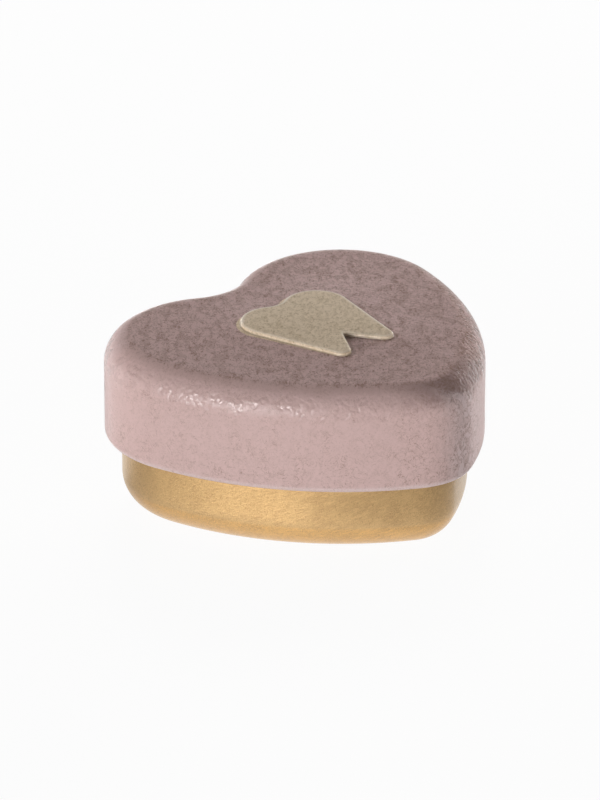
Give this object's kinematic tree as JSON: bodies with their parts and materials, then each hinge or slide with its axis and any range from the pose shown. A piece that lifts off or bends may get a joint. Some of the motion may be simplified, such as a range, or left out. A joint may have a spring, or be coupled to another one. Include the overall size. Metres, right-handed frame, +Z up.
{
  "type": "baby tooth box",
  "caption": "Heart-shaped keepsake tin for baby teeth: a drawn base cup with a rolled rim and an overlapping slip lid with a tooth pressed up out of its top.",
  "frame": {"origin": "on the surface that the tin stands on, at the centre of its overall box", "axes": "+Z up, +Y from the heart's tip to its cleft, X across the lobes"},
  "size_m": [0.06, 0.0552, 0.0284],
  "materials": {
    "gold_lacquer": "satin gold lacquer",
    "rose_print": "rose mottled print under satin varnish, with the raised tooth printed cream"
  },
  "bodies": {
    "base": {"base_cup": "gold_lacquer"},
    "lid": {"lid_shell": "rose_print"}
  },
  "joints": [
    {"name": "lid_lift", "type": "slide", "parent": "base", "child": "lid", "axis": [0, 0, 1], "range_m": [0, 0.025]}
  ]
}
